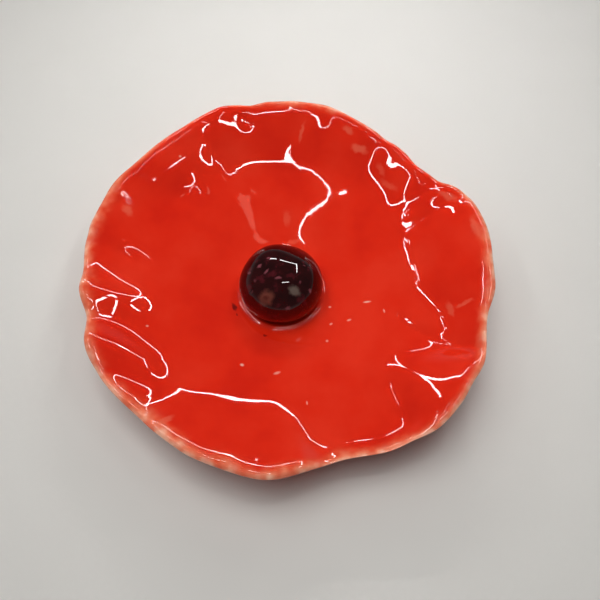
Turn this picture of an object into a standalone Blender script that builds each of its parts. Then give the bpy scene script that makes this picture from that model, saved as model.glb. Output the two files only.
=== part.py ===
"""A handmade ceramic poppy: one dished disc of petals with a clay button in the middle.

The petal bowl is a single rolled slab. It lies on a flat foot, rises gently to a bend and then
more steeply in a short wall that ends in a wavy, rounded rim. The button is a flattened ball of
clay that sits on the flat seat in the middle of the dish. The origin is the centre of the foot,
on the ground, and +Z points up out of the flower. All sizes are in metres.
"""

import math

import bmesh
import bpy
from mathutils import Matrix

MM = 0.001

# The slab of clay
FLOOR_THICKNESS = 4.0 * MM
RIM_THICKNESS = 2.8 * MM
SEAT_RADIUS = 13.0 * MM
FOOT_RADIUS = 15.0 * MM
MIDDLE_SLOPE = 0.27  # rise over run of the shallow middle, between the seat and the wall
SEAT_BLEND = 5.0 * MM  # how softly the middle starts to rise round the seat
BEND_BLEND = 2.2 * MM  # how softly the middle bends up into the wall

# The rim, anticlockwise from +X: angle in degrees, then in mm the radius and height of its crest
# and the radius where the shallow middle bends up into the wall under it. The notches between
# lobes, near 35, 229 and 287 degrees, are drawn in, and the rim is highest near 5 degrees.
RIM = [
    (0, 59.4, 23.3, 40.0),
    (14, 59.6, 23.3, 39.0),
    (24, 58.7, 22.0, 40.0),
    (35, 54.2, 19.5, 42.0),
    (47, 54.8, 20.0, 43.0),
    (68, 57.4, 21.0, 42.0),
    (82, 58.4, 21.5, 41.0),
    (99, 57.4, 21.0, 41.5),
    (109, 59.2, 22.0, 42.0),
    (124, 58.1, 20.5, 44.0),
    (148, 58.5, 18.5, 49.0),
    (170, 57.8, 17.8, 50.0),
    (190, 55.6, 18.7, 45.0),
    (211, 56.9, 19.8, 43.0),
    (229, 55.4, 19.2, 42.5),
    (241, 56.5, 20.0, 40.0),
    (255, 56.8, 20.0, 37.5),
    (269, 58.0, 20.0, 36.5),
    (287, 55.1, 17.2, 42.0),
    (303, 59.2, 19.0, 46.0),
    (315, 60.1, 21.5, 41.0),
    (328, 60.6, 22.0, 43.0),
    (346, 58.5, 21.2, 45.0),
    (354, 59.3, 22.5, 42.0),
]

MEAN_RIM_RADIUS = sum(row[1] for row in RIM) / len(RIM) * MM

# The button
BUTTON_RADIUS = 12.5 * MM
BUTTON_HALF_HEIGHT = 9.5 * MM
BUTTON_CENTRE_ABOVE_FLOOR = 4.5 * MM
SEAT_GAP = 0.3 * MM

# How finely the clay is cut into faces
SEGMENTS = 96
DISH_RINGS = 16
RIM_STEPS = 4
BUTTON_SEGMENTS = 36
BUTTON_RINGS = 20


def rim_value(angle, column):
    """Column 1, 2 or 3 of the rim table at an angle, in metres, on a smooth closed curve."""
    count = len(RIM)
    angle %= 360.0
    start = max(i for i in range(count) if RIM[i][0] <= angle)

    def knot(index):
        turns, place = divmod(index, count)
        return RIM[place][0] + 360.0 * turns, RIM[place][column] * MM

    (a0, v0), (a1, v1), (a2, v2), (a3, v3) = (knot(start + k) for k in (-1, 0, 1, 2))
    span = a2 - a1
    t = (angle - a1) / span
    slope_1 = (v2 - v0) / (a2 - a0) * span
    slope_2 = (v3 - v1) / (a3 - a1) * span
    return (
        (2 * t**3 - 3 * t**2 + 1) * v1
        + (t**3 - 2 * t**2 + t) * slope_1
        + (3 * t**2 - 2 * t**3) * v2
        + (t**3 - t**2) * slope_2
    )


def middle_rise(run):
    """Height that the shallow middle gains over a run outwards from its flat."""
    return MIDDLE_SLOPE * (math.hypot(max(0.0, run), SEAT_BLEND) - SEAT_BLEND)


def wall_run(past_bend):
    """Distance past the bend, eased so that it starts from 0 softly on the inner side."""
    return BEND_BLEND * math.log1p(math.exp(past_bend / BEND_BLEND))


def slab_height(radius, angle, flat_radius, floor, below_crest):
    """Height of one face of the slab, which is flat at floor out to flat_radius."""
    rim_radius, rim_height, bend_radius = (rim_value(angle, column) for column in (1, 2, 3))
    wall_rise = rim_height - below_crest - floor - middle_rise(rim_radius - flat_radius)
    share = wall_run(radius - bend_radius) / wall_run(rim_radius - bend_radius)
    return floor + middle_rise(radius - flat_radius) + wall_rise * share


def section_outline():
    """Half of the slab's section, cut at its mean rim radius, as (radius, layer) points.

    Layer 1 is the face inside the dish and layer -1 is the underside.
    """
    edge = 0.5 * RIM_THICKNESS

    def face(flat_radius, layer):
        step = (MEAN_RIM_RADIUS - edge - flat_radius) / DISH_RINGS
        slope = [(flat_radius + step * ring, layer) for ring in range(DISH_RINGS + 1)]
        return [(0.0, layer), (0.5 * flat_radius, layer)] + slope

    turns = [math.pi * (0.5 - k / RIM_STEPS) for k in range(1, RIM_STEPS)]
    crest = [(MEAN_RIM_RADIUS - edge + edge * math.cos(t), math.sin(t)) for t in turns]
    return face(SEAT_RADIUS, 1.0) + crest + face(FOOT_RADIUS, -1.0)[::-1]


def shape_slab(vertex):
    """Moves a vertex of the plain round slab to its place on the dished and ruffled one."""
    layer = vertex.co.z
    radius = math.hypot(vertex.co.x, vertex.co.y)
    angle = math.degrees(math.atan2(vertex.co.y, vertex.co.x)) % 360.0
    if radius > FOOT_RADIUS:
        share = (radius - FOOT_RADIUS) / (MEAN_RIM_RADIUS - FOOT_RADIUS)
        radius = FOOT_RADIUS + share * (rim_value(angle, 1) - FOOT_RADIUS)
    top = slab_height(radius, angle, SEAT_RADIUS, FLOOR_THICKNESS, 0.0)
    under = slab_height(radius, angle, FOOT_RADIUS, 0.0, RIM_THICKNESS)
    vertex.co.x = radius * math.cos(math.radians(angle))
    vertex.co.y = radius * math.sin(math.radians(angle))
    vertex.co.z = 0.5 * (top + under) + 0.5 * layer * (top - under)


def glaze(name, colour, roughness):
    material = bpy.data.materials.new(name)
    material.use_nodes = True
    shader = material.node_tree.nodes["Principled BSDF"]
    shader.inputs["Base Color"].default_value = (*colour, 1.0)
    shader.inputs["Roughness"].default_value = roughness
    shader.inputs["Metallic"].default_value = 0.0
    return material


def finish(bm, name, material, collection):
    """Makes an object of a finished bmesh, shaded smooth except at its sharp edges."""
    bmesh.ops.recalc_face_normals(bm, faces=bm.faces)
    mesh = bpy.data.meshes.new(name)
    bm.to_mesh(mesh)
    bm.free()
    mesh.materials.append(material)
    mesh.shade_smooth()
    mesh.set_sharp_from_angle(angle=math.radians(50))
    piece = bpy.data.objects.new(name, mesh)
    collection.objects.link(piece)
    return piece


def make_petal_bowl(collection):
    bm = bmesh.new()
    section = [bm.verts.new((share, 0.0, layer)) for share, layer in section_outline()]
    edges = [bm.edges.new(pair) for pair in zip(section, section[1:])]
    bmesh.ops.spin(
        bm,
        geom=section + edges,
        cent=(0, 0, 0),
        axis=(0, 0, 1),
        angle=2 * math.pi,
        steps=SEGMENTS,
        use_merge=True,
    )
    bmesh.ops.remove_doubles(bm, verts=bm.verts, dist=1e-6)
    for vertex in bm.verts:
        shape_slab(vertex)
    red = glaze("red_glaze", (0.61, 0.02, 0.006), 0.08)
    finish(bm, "petal_bowl", red, collection)


def make_centre_button(collection):
    bm = bmesh.new()
    bmesh.ops.create_uvsphere(
        bm, u_segments=BUTTON_SEGMENTS, v_segments=BUTTON_RINGS, radius=BUTTON_RADIUS
    )
    flatten = Matrix.Diagonal((1.0, 1.0, BUTTON_HALF_HEIGHT / BUTTON_RADIUS, 1.0))
    lift = Matrix.Translation((0.0, 0.0, FLOOR_THICKNESS + BUTTON_CENTRE_ABOVE_FLOOR))
    bmesh.ops.transform(bm, matrix=lift @ flatten, verts=bm.verts)
    base_height = FLOOR_THICKNESS + SEAT_GAP
    cut = bmesh.ops.bisect_plane(
        bm,
        geom=bm.verts[:] + bm.edges[:] + bm.faces[:],
        plane_co=(0.0, 0.0, base_height),
        plane_no=(0.0, 0.0, -1.0),
        clear_outer=True,
    )
    ring = [item for item in cut["geom_cut"] if isinstance(item, bmesh.types.BMEdge)]
    bmesh.ops.holes_fill(bm, edges=ring, sides=0)
    dark = glaze("dark_glaze", (0.012, 0.003, 0.004), 0.08)
    finish(bm, "centre_button", dark, collection)


def main():
    for leftover in list(bpy.data.objects):
        bpy.data.objects.remove(leftover)
    collection = bpy.data.collections.new("ceramic_poppy")
    bpy.context.scene.collection.children.link(collection)
    make_petal_bowl(collection)
    make_centre_button(collection)


main()
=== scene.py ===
"""The looks of a handmade ceramic poppy: a red-glazed dish of petals with a dark glazed button.

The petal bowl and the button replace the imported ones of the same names, from the same rim table
and the same slab formulas, with the finger folds, the softened lip and the glaze on top. All
sizes in the tables are in millimetres, and every mesh is made in metres.
"""

import math

import bmesh
import bpy
import numpy as np
from mathutils import Matrix, Vector, noise


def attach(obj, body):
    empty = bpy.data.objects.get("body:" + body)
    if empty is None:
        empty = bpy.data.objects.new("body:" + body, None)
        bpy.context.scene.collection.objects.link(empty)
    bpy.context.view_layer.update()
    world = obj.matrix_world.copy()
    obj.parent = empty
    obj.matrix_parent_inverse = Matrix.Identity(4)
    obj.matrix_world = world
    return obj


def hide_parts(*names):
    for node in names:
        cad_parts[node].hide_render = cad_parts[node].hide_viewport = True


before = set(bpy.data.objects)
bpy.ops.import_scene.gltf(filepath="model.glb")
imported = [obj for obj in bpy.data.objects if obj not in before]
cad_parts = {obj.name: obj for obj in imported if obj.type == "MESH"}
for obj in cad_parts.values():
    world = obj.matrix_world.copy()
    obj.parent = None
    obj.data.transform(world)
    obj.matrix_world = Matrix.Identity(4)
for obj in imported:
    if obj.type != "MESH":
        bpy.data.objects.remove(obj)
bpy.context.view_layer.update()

MM = 0.001

# ---------------------------------------------------------------------------------------------
# The slab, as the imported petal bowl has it
# ---------------------------------------------------------------------------------------------
FLOOR_THICKNESS = 4.0
RIM_THICKNESS = 2.8
SEAT_RADIUS = 13.0
FOOT_RADIUS = 15.0
MIDDLE_SLOPE = 0.27
SEAT_BLEND = 5.0
BEND_BLEND = 2.2

# Angle in degrees anticlockwise from +X, then radius and height of the rim's crest and the radius
# where the shallow middle bends up into the wall.
RIM = (
    (0, 59.4, 23.3, 40.0),
    (14, 59.6, 23.3, 39.0),
    (24, 58.7, 22.0, 40.0),
    (35, 54.2, 19.5, 42.0),
    (47, 54.8, 20.0, 43.0),
    (68, 57.4, 21.0, 42.0),
    (82, 58.4, 21.5, 41.0),
    (99, 57.4, 21.0, 41.5),
    (109, 59.2, 22.0, 42.0),
    (124, 58.1, 20.5, 44.0),
    (148, 58.5, 18.5, 49.0),
    (170, 57.8, 17.8, 50.0),
    (190, 55.6, 18.7, 45.0),
    (211, 56.9, 19.8, 43.0),
    (229, 55.4, 19.2, 42.5),
    (241, 56.5, 20.0, 40.0),
    (255, 56.8, 20.0, 37.5),
    (269, 58.0, 20.0, 36.5),
    (287, 55.1, 17.2, 42.0),
    (303, 59.2, 19.0, 46.0),
    (315, 60.1, 21.5, 41.0),
    (328, 60.6, 22.0, 43.0),
    (346, 58.5, 21.2, 45.0),
    (354, 59.3, 22.5, 42.0),
)
MEAN_RIM_RADIUS = sum(row[1] for row in RIM) / len(RIM)

# How far the clay's hand-pressed bend wanders from the rim table's bend radius, by angle.
BEND_DRIFT = (
    (0, 0.0), (10, 0.0), (36, 0.0), (42, 1.2), (55, 1.2), (61, 0.0), (84, 0.0), (100, 0.0),
    (105, -0.6), (109, -0.8), (113, 0.8), (117, 3.0), (121, 1.0), (126, -0.5), (137, -1.0),
    (144, 0.5), (150, 1.0), (165, 1.5), (178, 0.0), (200, 0.0), (235, 0.0), (244, -1.0),
    (254, -0.4), (262, 0.1), (270, 0.1), (275, 2.0), (281, 12.0), (290, 20.0), (300, 17.0),
    (308, 13.0), (315, 3.0), (320, -2.0), (325, -2.0), (331, 4.0), (335, 9.0), (340, 7.0),
    (345, 3.5), (350, 2.0), (356, 0.0),
)

# How far the lip leans out past the rim table's radius where a finger pulled it, by angle.
LIP_DRIFT = (
    (0, 0.2), (10, 0.8), (20, 1.0), (26, 1.5), (31, 1.8), (35, 2.2), (41, 1.0), (46, 1.2),
    (55, 0.6), (65, 0.7), (75, 1.4), (82, 1.0), (89, 1.4), (95, 1.8), (101, 1.2), (115, 1.0),
    (127, 1.1), (140, 0.7), (150, 1.5), (158, 0.9), (165, 1.1), (174, 0.4), (180, 0.0),
    (187, 0.9), (195, -0.2), (205, 0.5), (212, 0.0), (232, 0.0), (240, -0.5), (248, 0.0),
    (265, 0.0), (275, -0.5), (284, 0.0), (298, -0.2), (305, -0.5), (312, 0.9), (320, 0.6),
    (326, 0.0), (333, 0.8), (343, 0.0), (352, 0.7),
)

# How far the lip rises for each millimetre that it leans out, by angle. Only the far lip rises.
LIP_LIFT = (
    (0, 0.0), (60, 0.0), (72, 0.0), (80, 0.5), (90, 0.55), (100, 0.55), (108, 0.4), (114, 0.0),
    (122, 0.0), (240, 0.0),
)


def around(*pairs):
    """Points (x, y) from pairs of radius and angle in degrees."""
    return tuple((r * math.cos(math.radians(a)), r * math.sin(math.radians(a))) for r, a in pairs)


# Soft folds and furrows that fingers left in the clay: height (a hollow is negative), half-width,
# the shares of its length that it fades in and out over, and the points it runs through.
FOLDS = (
    # far edge: a thumb dent, a small dimple and a nick
    (-0.4, 2.6, 0.5, 0.3, around((42.5, 87), (47, 87), (56, 86))),
    (-0.45, 1.7, 0.0, 0.0, around((53.5, 102.5), (54.0, 102.5))),
    # right: the crease that runs in from the rim's deep notch, with one on each side of it
    (-0.7, 3.0, 0.6, 0.0, around((40, 33), (47, 32), (55, 33))),
    (-0.6, 2.5, 0.6, 0.0, around((39, 22), (46, 24), (58, 24))),
    (-0.5, 3.0, 0.6, 0.0, around((44.5, 59), (49, 57), (56, 55))),
    # left: a long furrow, then two fingers with hollows beneath them
    (-0.6, 2.6, 0.5, 0.0, ((-35, 3.5), (-41, 5.5), (-49, 9), (-57, 12.5))),
    (-0.6, 5.0, 0.8, 0.0, ((-43, 3), (-50, 4), (-58, 6))),
    (1.4, 4.2, 0.42, 0.0, ((-35, -8.5), (-40, -8), (-46, -6.5), (-57, -5))),
    (-1.1, 3.5, 0.9, 0.0, ((-37, -16), (-43, -15), (-48, -13.5), (-55, -13.5))),
    (1.2, 3.5, 0.35, 0.0, ((-29, -29), (-34, -27.5), (-40, -24), (-46, -21.5), (-54, -21.5))),
    (-1.0, 3.5, 0.8, 0.1, ((-28, -35.5), (-35, -33.5), (-44, -30.5), (-53, -29))),
    (-0.9, 3.5, 0.7, 0.0, ((-27, -33), (-32, -38), (-38, -42))),
    # near side: a faint swelling along the bend
    (0.07, 3.0, 0.3, 0.3, around((38.5, 240), (38, 255), (38.5, 268), (40, 276))),
    # upper left: a furrow along the bend, and a small dimple
    (-0.55, 3.6, 0.4, 0.4, around((45, 127), (44, 132), (43.5, 138), (44, 146))),
    (-0.5, 2.0, 0.3, 0.3, around((53, 150), (54.5, 153.5), (54.5, 157))),
    # right near side: a fine furrow out to the rim
    (-0.5, 1.6, 0.2, 0.0, around((33, 345), (38, 340), (42, 337.5), (50, 336.5), (58, 336))),
    # a bead of glaze behind the button
    (0.32, 0.7, 0.3, 0.3, around((15.5, 112), (15.2, 90), (15.4, 70))),
    # the score line left round the button when it was set
    (0.07, 0.45, 0.2, 0.3, ((-14, -2), (-13, -6), (-8, -13), (0, -17), (13, -18.5), (24, -18))),
)

# The lip rolls over in its last few millimetres
LIP_WIDTH = 3.4
LIP_ROLL = 0.11  # drop over the square of the distance into the lip
LIP_LEAN_WIDTH = 8.0

# Width of the band along the crest where the glaze ran thin, by angle.
THIN_BAND = (
    (0, 3.0), (14, 2.6), (24, 2.0), (35, 1.0), (47, 0.7), (56, 1.2), (68, 1.6), (76, 2.4),
    (90, 2.4), (98, 1.4), (109, 1.0), (124, 1.3), (140, 1.8), (152, 3.0), (162, 2.6), (175, 3.4),
    (190, 3.6), (205, 3.4), (220, 3.8), (235, 4.4), (250, 4.2), (265, 4.0), (280, 3.4),
    (295, 3.0), (310, 2.6), (325, 2.4), (340, 2.6), (350, 3.0),
)

# The folds show on the back too, from this radius on and fully a little further out.
BACK_FOLDS_START = 20.0
BACK_FOLDS_FADE = 15.0

# Glaze that ran together round the foot of the button
POOL_RADIUS = 12.1
POOL_HALF_WIDTH = 0.7
POOL_HEIGHT = 0.3

# Lumps left by hand: height, and distance from one to the next
SKIN_LUMPS = (0.02, 9.0)
LIP_LUMPS = (0.24, 5.0)
LIP_LUMPS_WIDTH = 8.0

# The mesh
SEGMENTS = 320
TOP_RINGS_MIDDLE = 50  # from the seat to the start of the wall
TOP_RINGS_WALL = 62
UNDER_RINGS = 46
CREST_STEPS = 16
WALL_START = 32.0


def periodic(angles, table, column=1):
    """A table's column at an array of angles, on a smooth closed curve."""
    knots = np.array([row[0] for row in table], float)
    values = np.array([row[column] for row in table], float)
    knots = np.concatenate([knots[-2:] - 360.0, knots, knots[:2] + 360.0])
    values = np.concatenate([values[-2:], values, values[:2]])
    slopes = np.zeros_like(values)
    slopes[1:-1] = (values[2:] - values[:-2]) / (knots[2:] - knots[:-2])
    angles = np.asarray(angles, float) % 360.0
    i = np.clip(np.searchsorted(knots, angles, side="right") - 1, 1, len(knots) - 3)
    span = knots[i + 1] - knots[i]
    t = (angles - knots[i]) / span
    return (
        (2 * t**3 - 3 * t**2 + 1) * values[i]
        + (t**3 - 2 * t**2 + t) * span * slopes[i]
        + (3 * t**2 - 2 * t**3) * values[i + 1]
        + (t**3 - t**2) * span * slopes[i + 1]
    )


def middle_rise(run):
    """Height that the shallow middle gains over a run outwards from its flat."""
    return MIDDLE_SLOPE * (np.hypot(np.maximum(0.0, run), SEAT_BLEND) - SEAT_BLEND)


def wall_run(past_bend):
    """Distance past the bend, eased so that it starts from 0 softly on the inner side."""
    return BEND_BLEND * np.logaddexp(0.0, past_bend / BEND_BLEND)


def slab_height(radius, angle, flat_radius, floor, below_crest):
    """Height of one face of the slab, which is flat at floor out to flat_radius."""
    rim_radius, rim_height, bend_radius = (periodic(angle, RIM, column) for column in (1, 2, 3))
    bend_radius = bend_radius + periodic(angle, BEND_DRIFT)
    wall_rise = rim_height - below_crest - floor - middle_rise(rim_radius - flat_radius)
    share = wall_run(radius - bend_radius) / wall_run(rim_radius - bend_radius)
    return floor + middle_rise(radius - flat_radius) + wall_rise * share


def ease(t):
    """A soft step from 0 to 1."""
    t = np.clip(t, 0.0, 1.0)
    return t * t * (3 - 2 * t)


def smooth_line(points, steps=10):
    """A Catmull-Rom line through the points."""
    p = np.array(points, float)
    p = np.vstack([2 * p[0] - p[1], p, 2 * p[-1] - p[-2]])
    line = []
    for a, b, c, d in zip(p, p[1:], p[2:], p[3:]):
        for t in np.arange(steps) / steps:
            line.append(
                0.5
                * (
                    2 * b
                    + (c - a) * t
                    + (2 * a - 5 * b + 4 * c - d) * t**2
                    + (3 * b - a - 3 * c + d) * t**3
                )
            )
    line.append(p[-2])
    return np.array(line)


def fold_height(x, y, fold):
    """Height that one fold adds at each point."""
    height, half_width, fade_in, fade_out, points = fold
    line = smooth_line(points)
    step = line[1:] - line[:-1]
    length = np.hypot(step[:, 0], step[:, 1])
    start = np.concatenate([[0.0], np.cumsum(length)])
    nearest = np.full(x.shape, 1e9)
    along = np.zeros(x.shape)
    for k in range(len(step)):
        dx, dy = x - line[k, 0], y - line[k, 1]
        t = np.clip((dx * step[k, 0] + dy * step[k, 1]) / length[k] ** 2, 0.0, 1.0)
        distance = np.hypot(dx - t * step[k, 0], dy - t * step[k, 1])
        closer = distance < nearest
        nearest = np.where(closer, distance, nearest)
        along = np.where(closer, start[k] + t * length[k], along)
    share = along / start[-1]
    fade = ease(share / fade_in) if fade_in else 1.0
    if fade_out:
        fade = fade * ease((1 - share) / fade_out)
    return height * np.exp(-((nearest / half_width) ** 2)) * fade


def section_outline():
    """Half of the slab's section as (radius, layer): layer 1 is inside, -1 is the underside."""
    edge = 0.5 * RIM_THICKNESS
    end = MEAN_RIM_RADIUS - edge
    top = [(radius, 1.0) for radius in (0.0, 4.0, 8.0, 10.5, *np.arange(11.0, 12.9, 0.3))]
    middle = np.linspace(SEAT_RADIUS, WALL_START, TOP_RINGS_MIDDLE, endpoint=False)
    wall = np.linspace(WALL_START, end, TOP_RINGS_WALL + 1)
    top += [(radius, 1.0) for radius in (*middle, *wall)]
    turns = [math.pi * (0.5 - k / CREST_STEPS) for k in range(1, CREST_STEPS)]
    crest = [(end + edge * math.cos(t), math.sin(t)) for t in turns]
    under = [(radius, -1.0) for radius in np.linspace(end, FOOT_RADIUS, UNDER_RINGS + 1)]
    under += [(radius, -1.0) for radius in (14.6, 14.0, 10.0, 5.0, 0.0)]
    return top + crest + under


def spun(outline, segments):
    """A closed turned solid from half of its section, as a bmesh, in millimetres."""
    bm = bmesh.new()
    section = [bm.verts.new((radius, 0.0, height)) for radius, height in outline]
    edges = [bm.edges.new(pair) for pair in zip(section, section[1:])]
    bmesh.ops.spin(
        bm,
        geom=section + edges,
        cent=(0, 0, 0),
        axis=(0, 0, 1),
        angle=2 * math.pi,
        steps=segments,
        use_merge=True,
    )
    bmesh.ops.remove_doubles(bm, verts=bm.verts, dist=1e-4)
    bmesh.ops.recalc_face_normals(bm, faces=bm.faces)
    return bm


def lumps(x, y, table):
    """Soft noise over the plan, from a height and a distance between lumps."""
    height, apart = table
    spots = zip(x / apart, y / apart)
    return height * np.array([noise.noise(Vector((a, b, 0.0))) for a, b in spots])


def shape_bowl(plain):
    """Places of the plain round slab's points on the dished, folded and lipped one.

    Also gives how far in from the crest each point lies, as a share of the thin band's width.
    """
    layer = plain[:, 2]
    radius = np.hypot(plain[:, 0], plain[:, 1])
    angle = np.degrees(np.arctan2(plain[:, 1], plain[:, 0])) % 360.0
    rim_radius = periodic(angle, RIM)
    share = np.maximum(0.0, radius - FOOT_RADIUS) / (MEAN_RIM_RADIUS - FOOT_RADIUS)
    stretched = FOOT_RADIUS + share * (rim_radius - FOOT_RADIUS)
    radius = np.where(radius > FOOT_RADIUS, stretched, radius)
    x = radius * np.cos(np.radians(angle))
    y = radius * np.sin(np.radians(angle))
    top = slab_height(radius, angle, SEAT_RADIUS, FLOOR_THICKNESS, 0.0)
    under = slab_height(radius, angle, FOOT_RADIUS, 0.0, RIM_THICKNESS)
    folded = np.zeros_like(x)
    for fold in FOLDS:
        folded += fold_height(x, y, fold)
    near_lip = ease((radius - rim_radius + LIP_LUMPS_WIDTH) / LIP_LUMPS_WIDTH)
    folded += lumps(x, y, SKIN_LUMPS) + near_lip * lumps(x, y, LIP_LUMPS)
    into_lip = np.maximum(0.0, radius - (rim_radius - LIP_WIDTH))
    pool = POOL_HEIGHT * np.exp(-(((radius - POOL_RADIUS) / POOL_HALF_WIDTH) ** 2))
    top = top + folded + pool - LIP_ROLL * into_lip**2
    under = under + folded * ease((radius - BACK_FOLDS_START) / BACK_FOLDS_FADE)
    leaning = ease((radius - rim_radius + LIP_LEAN_WIDTH) / LIP_LEAN_WIDTH)
    lean = periodic(angle, LIP_DRIFT) * leaning
    lift = periodic(angle, LIP_LIFT) * lean
    top, under = top + lift, under + lift
    x = x + lean * np.cos(np.radians(angle))
    y = y + lean * np.sin(np.radians(angle))
    z = 0.5 * (top + under) + 0.5 * layer * (top - under)
    return np.stack([x, y, z], -1), (rim_radius - radius) / periodic(angle, THIN_BAND)


def linear(hex_colour):
    """An sRGB hex colour as linear RGBA."""
    parts = [int(hex_colour[i : i + 2], 16) / 255 for i in (1, 3, 5)]
    return (*[c / 12.92 if c <= 0.04045 else ((c + 0.055) / 1.055) ** 2.4 for c in parts], 1.0)


# Sockets of a Mix node that mixes colours
MIX_A, MIX_B, MIX_RESULT = 6, 7, 2


def add_node(tree, kind, links=(), output=0, stops=(), **settings):
    """Adds a node with its settings and gives back one of its outputs.

    links maps a socket to a value or to another node's output. stops are a colour ramp's
    positions and hex colours.
    """
    made = tree.nodes.new(kind)
    for name, value in settings.items():
        setattr(made, name, value)
    for socket, value in dict(links).items():
        if isinstance(value, bpy.types.NodeSocket):
            tree.links.new(value, made.inputs[socket])
        else:
            made.inputs[socket].default_value = value
    for number, (position, colour) in enumerate(stops):
        elements = made.color_ramp.elements
        element = elements[number] if number < len(elements) else elements.new(position)
        element.position, element.color = position, linear(colour)
    return made.outputs[output] if made.outputs else None


def new_material(name):
    """A material with an empty tree, and its Object coordinates."""
    material = bpy.data.materials.new(name)
    material.use_nodes = True
    tree = material.node_tree
    tree.nodes.clear()
    return material, tree, add_node(tree, "ShaderNodeTexCoord", output="Object")


def lump(size):
    """The noise scale that gives lumps about size millimetres across."""
    return 1.0 / (size * MM)


# Where a painted mark fades out and where it is full, in half-lengths from its middle
MARK_EDGE, MARK_HEART = 1.15, 0.35
MARK_DEPTH = 3.0  # a mark's reach in height, in half-lengths


def paint_marks(tree, place, colour, table, paint):
    """Paints soft oval marks over a colour.

    Each row gives a mark's x, y, z, half-length, half-width, turn in degrees and strength.
    """
    for x, y, z, length, width, turn, strength in table:
        local = add_node(
            tree,
            "ShaderNodeMapping",
            {
                "Vector": place,
                "Location": (x * MM, y * MM, z * MM),
                "Rotation": (0.0, 0.0, math.radians(turn)),
                "Scale": (length * MM, width * MM, MARK_DEPTH * max(length, width) * MM),
            },
            vector_type="TEXTURE",
        )
        away = add_node(
            tree, "ShaderNodeVectorMath", {0: local}, "Value", operation="LENGTH"
        )
        cover = add_node(
            tree,
            "ShaderNodeMapRange",
            {
                "Value": away,
                "From Min": MARK_EDGE,
                "From Max": MARK_HEART,
                "To Min": 0.0,
                "To Max": strength,
            },
            interpolation_type="SMOOTHSTEP",
        )
        sockets = {"Factor": cover, MIX_A: colour, MIX_B: linear(paint)}
        colour = add_node(tree, "ShaderNodeMix", sockets, MIX_RESULT, data_type="RGBA")
    return colour


GLAZE_ROUGHNESS = 0.02

# Salmon streaks painted on the inside of the dish as soft reflections on the glaze
SALMON_PAINTED_REFLECTIONS = (
    (-46.0, 23.5, 14, 2.4, 1.5, -55, 0.50),
    (-53.3, 24.2, 18, 4.0, 1.5, 68, 0.55),
    (25.5, 44.8, 17, 3.2, 1.2, -22, 0.55),
    (22.0, 50.4, 19, 2.6, 1.1, -30, 0.50),
    (7.2, 51.1, 17, 3.4, 0.8, 75, 0.45),
    (-28.0, -42.1, 16, 3.2, 1.2, 50, 0.50),
    (-31.6, -43.3, 18, 2.6, 1.5, -40, 0.60),
    (34.3, 33.1, 14, 3.6, 1.0, -45, 0.30),
    (32.2, 37.8, 15, 2.8, 0.8, -60, 0.28),
    (49.3, -9.7, 15, 3.0, 0.8, 100, 0.38),
    (52.6, -8.9, 17, 2.8, 0.7, 8, 0.42),
    (2.4, 25.4, 6, 3.0, 1.2, 100, 0.26),
    (4.6, 17.5, 4.5, 3.4, 0.9, 12, 0.30),
    (50.8, 25.3, 21, 3.6, 1.1, -35, 0.45),
    (57.1, 13.4, 22, 3.8, 1.2, 100, 0.50),
)
# Pale dots painted as glints off small pimples in the glaze: painted highlights
PAINTED_GLINTS = (
    (14.6, -5.7, 4, 0.5, 0.4, 0, 0.6),
    (14.8, -11.4, 5, 0.6, 0.4, 30, 0.6),
    (13.5, -17.0, 5, 0.5, 0.5, 0, 0.5),
    (20.1, -10.5, 6, 0.8, 0.4, 15, 0.6),
    (25.6, -5.0, 7, 1.3, 0.35, 2, 0.9),
    (30.3, -8.5, 8, 0.8, 0.3, 100, 0.5),
    (-10.9, -24.7, 7, 0.7, 0.5, -20, 0.8),
    (-0.9, -27.1, 7, 1.2, 0.5, 20, 0.5),
    (-38.1, -14.3, 10, 0.5, 0.4, 0, 0.6),
    (-32.1, 40.8, 16, 0.5, 0.4, 0, 0.6),
    (7.5, -36.4, 9, 0.7, 0.25, 95, 0.6),
)
DARK_MARKS = (
    (-13.2, -4.6, 4, 1.7, 0.55, -58, 0.85),
    (-12.2, -7.0, 4, 0.5, 0.3, -40, 0.7),
    (-3.6, -13.6, 4, 0.45, 0.35, 0, 0.7),
)


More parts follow.
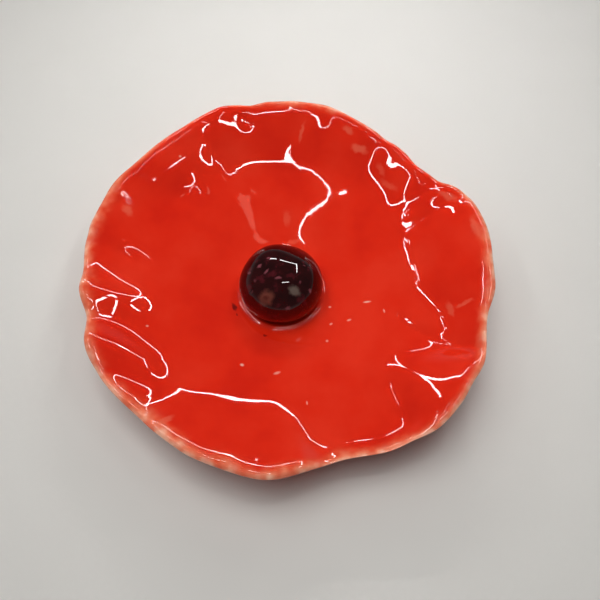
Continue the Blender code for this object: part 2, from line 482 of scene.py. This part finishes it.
def red_gloss_glaze():
    """Buff earthenware dipped in a bright red gloss glaze and fired to a glassy skin.

    It gives the eye a deep, even red with a faint cloudy change of tone, mirror-sharp lights, a
    mottled salmon and cream edge where the melted glaze ran off the crest of the rim, salmon
    streaks painted as soft reflections, pale dots painted as glints off small pimples, a smear of
    the button's dark glaze, and a wiped clay foot.
    """
    material, tree, place = new_material("red_gloss_glaze_on_buff_earthenware")
    cloud = add_node(
        tree, "ShaderNodeTexNoise", {"Vector": place, "Scale": lump(17.0), "Detail": 3.0}
    )
    red = add_node(
        tree,
        "ShaderNodeValToRGB",
        {"Fac": cloud},
        stops=((0.34, "#CE200D"), (0.5, "#D72610"), (0.68, "#DC2F19")),
    )

    # The thin band along the crest, with a ragged inner edge and pale streaks in it
    into_band = add_node(tree, "ShaderNodeAttribute", output="Fac", attribute_name="into_band")
    patches = add_node(
        tree, "ShaderNodeTexNoise", {"Vector": place, "Scale": lump(6.5), "Detail": 2.0}
    )
    mottle = add_node(
        tree, "ShaderNodeTexNoise", {"Vector": place, "Scale": lump(3.2), "Detail": 1.5}
    )
    ragged = add_node(
        tree, "ShaderNodeMath", {0: mottle, 1: 0.7, 2: into_band}, operation="MULTIPLY_ADD"
    )
    ragged = add_node(
        tree, "ShaderNodeMath", {0: patches, 1: 2.2, 2: ragged}, operation="MULTIPLY_ADD"
    )
    thin = add_node(
        tree,
        "ShaderNodeMapRange",
        {"Value": ragged, "From Min": 1.5, "From Max": 2.9, "To Min": 1.0, "To Max": 0.0},
        interpolation_type="SMOOTHSTEP",
    )
    near_crest = add_node(
        tree,
        "ShaderNodeMapRange",
        {
            "Value": into_band,
            "From Min": 0.0,
            "From Max": 1.2,
            "To Min": 0.06,
            "To Max": -0.65,
        },
    )
    worn = add_node(
        tree, "ShaderNodeMath", {0: mottle, 1: 1.5, 2: near_crest}, operation="MULTIPLY_ADD"
    )
    bared = add_node(
        tree,
        "ShaderNodeValToRGB",
        {"Fac": worn},
        stops=((0.0, "#D6321A"), (0.3, "#DF5638"), (0.65, "#E98161"), (1.0, "#F8BDA0")),
    )
    sockets = {"Factor": thin, MIX_A: red, MIX_B: bared}
    colour = add_node(tree, "ShaderNodeMix", sockets, MIX_RESULT, data_type="RGBA")

    # Painted salmon reflections, painted pale glints and smears of dark glaze; the reflections and
    # smears have their outlines made uneven
    warp = add_node(
        tree, "ShaderNodeTexNoise", {"Vector": place, "Scale": lump(2.5), "Detail": 2.0}, "Color"
    )
    warped = add_node(
        tree,
        "ShaderNodeVectorMath",
        {0: warp, 1: (0.0022, 0.0022, 0.0), 2: place},
        operation="MULTIPLY_ADD",
    )
    colour = paint_marks(tree, warped, colour, SALMON_PAINTED_REFLECTIONS, "#E26A50")
    colour = paint_marks(tree, place, colour, PAINTED_GLINTS, "#F3B9A4")
    colour = paint_marks(tree, warped, colour, DARK_MARKS, "#5E0A0C")

    # The foot, wiped back to clay
    height = add_node(tree, "ShaderNodeSeparateXYZ", {0: place}, "Z")
    smear = add_node(
        tree, "ShaderNodeTexNoise", {"Vector": place, "Scale": lump(3.0), "Detail": 2.0}
    )
    wiped = add_node(
        tree, "ShaderNodeMath", {0: smear, 1: 0.0006, 2: height}, operation="MULTIPLY_ADD"
    )
    clay = add_node(
        tree,
        "ShaderNodeMapRange",
        {"Value": wiped, "From Min": 0.0005, "From Max": 0.0007, "To Min": 1.0, "To Max": 0.0},
    )
    grain = add_node(
        tree, "ShaderNodeTexNoise", {"Vector": place, "Scale": lump(0.8), "Detail": 4.0}
    )
    body = add_node(
        tree, "ShaderNodeValToRGB", {"Fac": grain}, stops=((0.3, "#C4A98B"), (0.7, "#DCC7AC"))
    )
    sockets = {"Factor": clay, MIX_A: colour, MIX_B: body}
    colour = add_node(tree, "ShaderNodeMix", sockets, MIX_RESULT, data_type="RGBA")
    roughness = add_node(
        tree, "ShaderNodeMath", {0: clay, 1: 0.8, 2: GLAZE_ROUGHNESS}, operation="MULTIPLY_ADD"
    )

    # Glaze lies in very shallow waves, and the bare clay has its grit
    waves = add_node(
        tree, "ShaderNodeTexNoise", {"Vector": place, "Scale": lump(4.0), "Detail": 1.0}
    )
    relief = add_node(
        tree, "ShaderNodeMath", {0: grain, 1: clay, 2: waves}, operation="MULTIPLY_ADD"
    )
    skin = add_node(
        tree, "ShaderNodeBump", {"Strength": 0.03, "Distance": 0.0003, "Height": relief}
    )
    shader = add_node(
        tree,
        "ShaderNodeBsdfPrincipled",
        {"Base Color": colour, "Roughness": roughness, "IOR": 1.5, "Normal": skin},
    )
    add_node(tree, "ShaderNodeOutputMaterial", {"Surface": shader})
    return material


# Pale specks that floated up in the button's glaze, then a brown patch and a grey one painted as
# reflections of the room
BUTTON_SPECKS = (
    (-5.3, 2.6, 16.9, 0.8, 0.7, 0, 0.55),
    (-3.2, 0.6, 17.7, 0.9, 0.6, 30, 0.50),
    (-2.5, 4.8, 17.1, 0.6, 0.6, 0, 0.45),
    (-8.6, 1.5, 15.3, 0.8, 0.7, 0, 0.45),
    (0.2, -1.7, 17.9, 1.1, 0.6, -10, 0.45),
    (6.5, -2.6, 16.4, 0.6, 0.5, 0, 0.30),
    (9.3, -4.5, 13.8, 0.5, 0.7, 0, 0.55),
    (-6.6, -1.4, 16.4, 0.7, 0.5, 20, 0.35),
    (-7.6, -4.6, 15.0, 0.6, 0.5, 0, 0.40),
    (2.8, -9.5, 14.3, 0.9, 0.5, 10, 0.35),
    (7.4, 2.6, 15.8, 0.6, 0.4, 0, 0.35),
)
BUTTON_BROWN_PAINTED_REFLECTIONS = ((-3.2, -6.7, 16.0, 2.6, 2.2, 0, 0.75),)
BUTTON_BROWN_PAINTED_REFLECTION_HEARTS = ((-3.4, -6.9, 16.0, 1.3, 1.0, 0, 0.8),)
BUTTON_GREY_PAINTED_REFLECTIONS = ((4.8, -5.2, 16.3, 1.9, 1.5, -20, 0.55),)


def black_gloss_glaze():
    """A ball of clay under a thick black gloss glaze that broke to burgundy as it cooled.

    It gives the eye a nearly black dome that warms to wine red lower down, with a few pink specks,
    a brown and a grey patch painted as reflections of the room, and a wet, sharp shine.
    """
    material, tree, place = new_material("black_burgundy_gloss_glaze_on_earthenware")
    height = add_node(tree, "ShaderNodeSeparateXYZ", {0: place}, "Z")
    # Wine red grows towards the bottom of the dome
    low = add_node(
        tree,
        "ShaderNodeMapRange",
        {"Value": height, "From Min": 0.0165, "From Max": 0.0065, "To Min": -0.2, "To Max": 0.75},
        interpolation_type="SMOOTHSTEP",
    )
    cloud = add_node(
        tree, "ShaderNodeTexNoise", {"Vector": place, "Scale": lump(4.5), "Detail": 3.0}
    )
    depth = add_node(
        tree, "ShaderNodeMath", {0: cloud, 1: 0.8, 2: low}, operation="MULTIPLY_ADD"
    )
    colour = add_node(
        tree,
        "ShaderNodeValToRGB",
        {"Fac": depth},
        stops=((0.1, "#240406"), (0.4, "#38070A"), (0.75, "#4C080C"), (1.0, "#700C14")),
    )
    fine = add_node(
        tree, "ShaderNodeTexNoise", {"Vector": place, "Scale": lump(3.0), "Detail": 3.0}
    )
    veins = add_node(
        tree,
        "ShaderNodeMapRange",
        {"Value": fine, "From Min": 0.52, "From Max": 0.72, "To Min": 0.0, "To Max": 0.45},
        interpolation_type="SMOOTHSTEP",
    )
    sockets = {"Factor": veins, MIX_A: colour, MIX_B: linear("#6C1C28")}
    colour = add_node(tree, "ShaderNodeMix", sockets, MIX_RESULT, data_type="RGBA")
    warp = add_node(
        tree, "ShaderNodeTexNoise", {"Vector": place, "Scale": lump(1.5), "Detail": 2.0}, "Color"
    )
    warped = add_node(
        tree,
        "ShaderNodeVectorMath",
        {0: warp, 1: (0.0016, 0.0016, 0.0), 2: place},
        operation="MULTIPLY_ADD",
    )
    # A brown patch and a grey one painted as reflections of the room, then the pale specks
    colour = paint_marks(tree, warped, colour, BUTTON_BROWN_PAINTED_REFLECTIONS, "#8A4A3C")
    colour = paint_marks(tree, warped, colour, BUTTON_BROWN_PAINTED_REFLECTION_HEARTS, "#5A2018")
    colour = paint_marks(tree, warped, colour, BUTTON_GREY_PAINTED_REFLECTIONS, "#8A7C70")
    colour = paint_marks(tree, warped, colour, BUTTON_SPECKS, "#B0606C")
    shader = add_node(
        tree,
        "ShaderNodeBsdfPrincipled",
        {"Base Color": colour, "Roughness": GLAZE_ROUGHNESS, "IOR": 1.55},
    )
    add_node(tree, "ShaderNodeOutputMaterial", {"Surface": shader})
    return material


def finish_piece(bm, name, material):
    """Turns a bmesh in millimetres into a smooth piece in metres, riding on the body."""
    bmesh.ops.scale(bm, vec=(MM, MM, MM), verts=bm.verts)
    mesh = bpy.data.meshes.new(name)
    bm.to_mesh(mesh)
    bm.free()
    mesh.materials.append(material)
    mesh.shade_smooth()
    piece = bpy.data.objects.new(name, mesh)
    bpy.context.scene.collection.objects.link(piece)
    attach(piece, "root")
    return piece


def make_bowl():
    """The petal bowl: one slab of clay, pressed into a dish and pinched along its rim."""
    bm = spun(section_outline(), SEGMENTS)
    plain = np.array([vertex.co for vertex in bm.verts])
    placed, into_band = shape_bowl(plain)
    band = bm.verts.layers.float.new("into_band")
    for vertex, place, share in zip(bm.verts, placed, into_band):
        vertex.co = place
        vertex[band] = share
    bowl = finish_piece(bm, "glazed_petal_bowl", red_gloss_glaze())
    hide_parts("petal_bowl")
    return bowl


BUTTON_RADIUS = 12.5
BUTTON_HALF_HEIGHT = 9.5
BUTTON_CENTRE = 8.5
BUTTON_SEGMENTS = 128
BUTTON_STEPS = 72
BUTTON_NEAR_SQUASH = 0.97  # the near side was pushed in by this share
BUTTON_SLANT = 0.1  # how much the crown slants from side to side
BUTTON_SLANT_LOSS = 0.0016  # how fast the slant turns over behind the crown
BUTTON_SLANT_START = -4.0
BUTTON_LUMPS = (0.25, 9.0)  # height, and distance from one to the next


def make_button():
    """A flattened ball pressed onto the dish, a little flatter along one slant than across it."""
    lowest = math.asin((FLOOR_THICKNESS - BUTTON_CENTRE) / BUTTON_HALF_HEIGHT)
    turns = [lowest + (math.pi / 2 - lowest) * k / BUTTON_STEPS for k in range(BUTTON_STEPS + 1)]
    outline = [
        (BUTTON_RADIUS * math.cos(turn), BUTTON_CENTRE + BUTTON_HALF_HEIGHT * math.sin(turn))
        for turn in turns
    ]
    outline[-1] = (0.0, BUTTON_CENTRE + BUTTON_HALF_HEIGHT)
    bm = spun([(0.0, FLOOR_THICKNESS)] + outline, BUTTON_SEGMENTS)
    lump_height, lump_spacing = BUTTON_LUMPS
    for vertex in bm.verts:
        vertex.co.y *= BUTTON_NEAR_SQUASH if vertex.co.y < 0.0 else 1.0
        x, y, z = vertex.co
        if z > FLOOR_THICKNESS + 1e-3:
            up = ease((z - BUTTON_CENTRE) / BUTTON_HALF_HEIGHT)
            beyond = max(0.0, y - BUTTON_SLANT_START)
            vertex.co.z += up * x * (BUTTON_SLANT - BUTTON_SLANT_LOSS * beyond * beyond)
            swelling = lump_height * noise.noise(Vector((x, y, z)) / lump_spacing)
            vertex.co += swelling * Vector((x, y, z - BUTTON_CENTRE)).normalized()
    button = finish_piece(bm, "glazed_button", black_gloss_glaze())
    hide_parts("centre_button")


# ---------------------------------------------------------------------------------------------
# Floor, lights and camera
# ---------------------------------------------------------------------------------------------
FLOOR_RADIUS = 4.0  # in metres


def make_floor():
    """A plain sheet of pale matt paper under everything."""
    bm = bmesh.new()
    bmesh.ops.create_circle(bm, cap_ends=True, segments=64, radius=FLOOR_RADIUS)
    mesh = bpy.data.meshes.new("floor")
    bm.to_mesh(mesh)
    bm.free()
    material, tree, place = new_material("pale_matt_paper")
    tooth = add_node(
        tree, "ShaderNodeTexNoise", {"Vector": place, "Scale": lump(30.0), "Detail": 2.0}
    )
    paper = add_node(
        tree, "ShaderNodeValToRGB", {"Fac": tooth}, stops=((0.3, "#D8D6D1"), (0.7, "#DAD8D3"))
    )
    shader = add_node(
        tree,
        "ShaderNodeBsdfPrincipled",
        {"Base Color": paper, "Roughness": 0.9, "Specular IOR Level": 0.1},
    )
    add_node(tree, "ShaderNodeOutputMaterial", {"Surface": shader})
    mesh.materials.append(material)
    floor = bpy.data.objects.new("floor", mesh)
    bpy.context.scene.collection.objects.link(floor)
    return floor


def area_light(name, centre, size, aim, radiance, side_hint=(1.0, 0.0, 0.0)):
    """A rectangular light in millimetres, its long side along side_hint, facing aim."""
    light = bpy.data.lights.new(name, "AREA")
    light.shape = "RECTANGLE"
    light.size, light.size_y = size[0] * MM, size[1] * MM
    light.energy = radiance * math.pi * light.size * light.size_y
    back = (Vector(centre) - Vector(aim)).normalized()
    side = Vector(side_hint)
    side = (side - side.dot(back) * back).normalized()
    lamp = bpy.data.objects.new(name, light)
    lamp.matrix_world = Matrix.Translation(Vector(centre) * MM) @ Matrix(
        (side, back.cross(side), back)
    ).transposed().to_4x4()
    bpy.context.scene.collection.objects.link(lamp)
    return lamp


RING_FRONT, RING_BACK = (-16.0, 205.0), (164.0, 134.0)  # (y, z) of the ring's two long sides
STRIP_WIDTH = 5.0
ROD_WIDTH = 1.0
STRIP_RADIANCE = 30.0
AIM = (0.0, 0.0, 10.0)

# The strips of a square ring of lamps above the dish, with the dark gaps between them, as
# start and end (x, y), width, and whether the strip also lights the button. The others would
# close its light into a square. The ring leans, so y sets the height.
STRIPS = (
    ((-15, -16), (36, -16), STRIP_WIDTH, True),
    ((-15, -14), (-15, 49), ROD_WIDTH, False),
    ((72, -16), (71, 42), STRIP_WIDTH, False),
    ((71, 75), (70, 164), STRIP_WIDTH, True),
    ((70, 164), (-6, 164), STRIP_WIDTH, True),
    ((-24, 164), (-70, 164), STRIP_WIDTH, True),
    ((-90, -32), (-80, 62), STRIP_WIDTH, False),
    ((-75, 112), (-70, 160), STRIP_WIDTH, False),
    ((-78, 74.5), (-88, 76), 1.2, False),
    ((-94, 77), (-96, 77.2), 2.0, False),
    ((-76, 70), (-78, 72), STRIP_WIDTH, False),
)

# A dim warm card inside the ring, which lays a soft streak behind the button
CARD = ((9, 40), (1, 50), 3.0)
CARD_RADIANCE = 2.8
CARD_COLOUR = "#FFB49A"

# A wide soft light from overhead, a little from the upper left
FILL_FROM = (-150.0, 150.0, 900.0)
FILL_SPREAD = 42.0
FILL_STRENGTH = 1.42


def above(x, y):
    """The place over (x, y) in the leaning plane of the ring."""
    share = (y - RING_FRONT[0]) / (RING_BACK[0] - RING_FRONT[0])
    return Vector((x, y, RING_FRONT[1] + share * (RING_BACK[1] - RING_FRONT[1])))


def make_lights(around_button):
    """The strips, the soft fill and the card. Some light only the pieces around the button."""
    dish_only = bpy.data.collections.new("dish_and_floor")
    for piece in around_button:
        dish_only.objects.link(piece)
    for k, (start, end, width, on_button) in enumerate(STRIPS):
        a, b = above(*start), above(*end)
        size = ((b - a).length, width)
        strip = area_light(f"strip_{k}", (a + b) / 2, size, AIM, STRIP_RADIANCE, b - a)
        if not on_button:
            strip.light_linking.receiver_collection = dish_only
    light = bpy.data.lights.new("soft_fill", "SUN")
    light.energy, light.angle = FILL_STRENGTH, math.radians(FILL_SPREAD)
    fill = bpy.data.objects.new("soft_fill", light)
    fill.rotation_euler = Vector(FILL_FROM).to_track_quat("Z", "Y").to_euler()
    fill.visible_glossy = False
    bpy.context.scene.collection.objects.link(fill)
    start, end, width = CARD
    a, b = above(*start), above(*end)
    card = area_light("warm_card", (a + b) / 2, ((b - a).length, width), AIM, CARD_RADIANCE, b - a)
    card.data.color = linear(CARD_COLOUR)[:3]
    card.visible_diffuse = False
    card.light_linking.receiver_collection = dish_only


ROOM_AT_HORIZON, ROOM_OVERHEAD = 0.5, 0.1


def make_world():
    """A pale, dim room: lighter towards the horizon, darker overhead."""
    world = bpy.data.worlds.new("pale_room")
    bpy.context.scene.world = world
    world.use_nodes = True
    tree = world.node_tree
    toward = add_node(tree, "ShaderNodeTexCoord", output="Generated")
    height = add_node(tree, "ShaderNodeSeparateXYZ", {0: toward}, "Z")
    strength = add_node(
        tree,
        "ShaderNodeMapRange",
        {
            "Value": height,
            "From Min": 0.04,
            "From Max": 0.3,
            "To Min": ROOM_AT_HORIZON,
            "To Max": ROOM_OVERHEAD,
        },
        interpolation_type="SMOOTHSTEP",
    )
    room = tree.nodes["Background"]
    room.inputs["Color"].default_value = linear("#DCDAD8")
    tree.links.new(strength, room.inputs["Strength"])


CAMERA_PLACE = (5.6, -77.3, 170.2)
CAMERA_ELEVATION = 66.0
CAMERA_SENSOR, CAMERA_LENS = 36.0, 36.0


def make_camera():
    """A camera looking down at the dish from in front."""
    camera = bpy.data.cameras.new("camera")
    camera.sensor_width, camera.lens = CAMERA_SENSOR, CAMERA_LENS
    camera.clip_start = 0.005
    holder = bpy.data.objects.new("camera", camera)
    holder.location = Vector(CAMERA_PLACE) * MM
    holder.rotation_euler = (math.radians(90.0 - CAMERA_ELEVATION), 0.0, 0.0)
    bpy.context.scene.collection.objects.link(holder)
    bpy.context.scene.camera = holder


bowl = make_bowl()
make_button()
floor = make_floor()
make_lights((bowl, floor))
make_world()
make_camera()
bpy.context.scene.view_settings.view_transform = "Standard"
